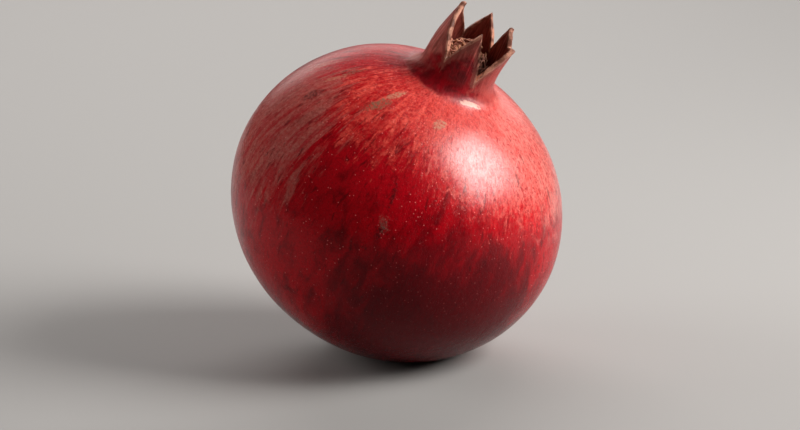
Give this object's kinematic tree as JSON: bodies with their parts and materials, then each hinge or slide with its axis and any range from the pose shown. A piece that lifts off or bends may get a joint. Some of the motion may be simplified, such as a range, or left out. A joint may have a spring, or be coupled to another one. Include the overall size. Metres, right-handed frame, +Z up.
{
  "type": "pomegranate",
  "caption": "Whole ripe pomegranate resting on its side a little: a squat round red fruit with an open calyx crown of pointed sepals, dried stamens inside and a cut stem stub.",
  "frame": {"origin": "middle of the small flat spot on which the fruit rests", "axes": "+Z up from the surface, +X to the right and +Y away as the picture sees it; the axis through the stem end and the crown leans about 26 degrees from +Z, towards +X and a little towards -Y"},
  "size_m": [0.094, 0.0955, 0.1034],
  "materials": {
    "rind": "leathery waxed skin, softly glossy, deep red with darker streaks and pale specks",
    "dried_stamens": "dry, matt, brown",
    "woody_stem": "dry bark with a rough cut end, matt"
  },
  "bodies": {
    "root": {"fruit": "rind", "stamens": "dried_stamens", "stem": "woody_stem"}
  },
  "joints": []
}
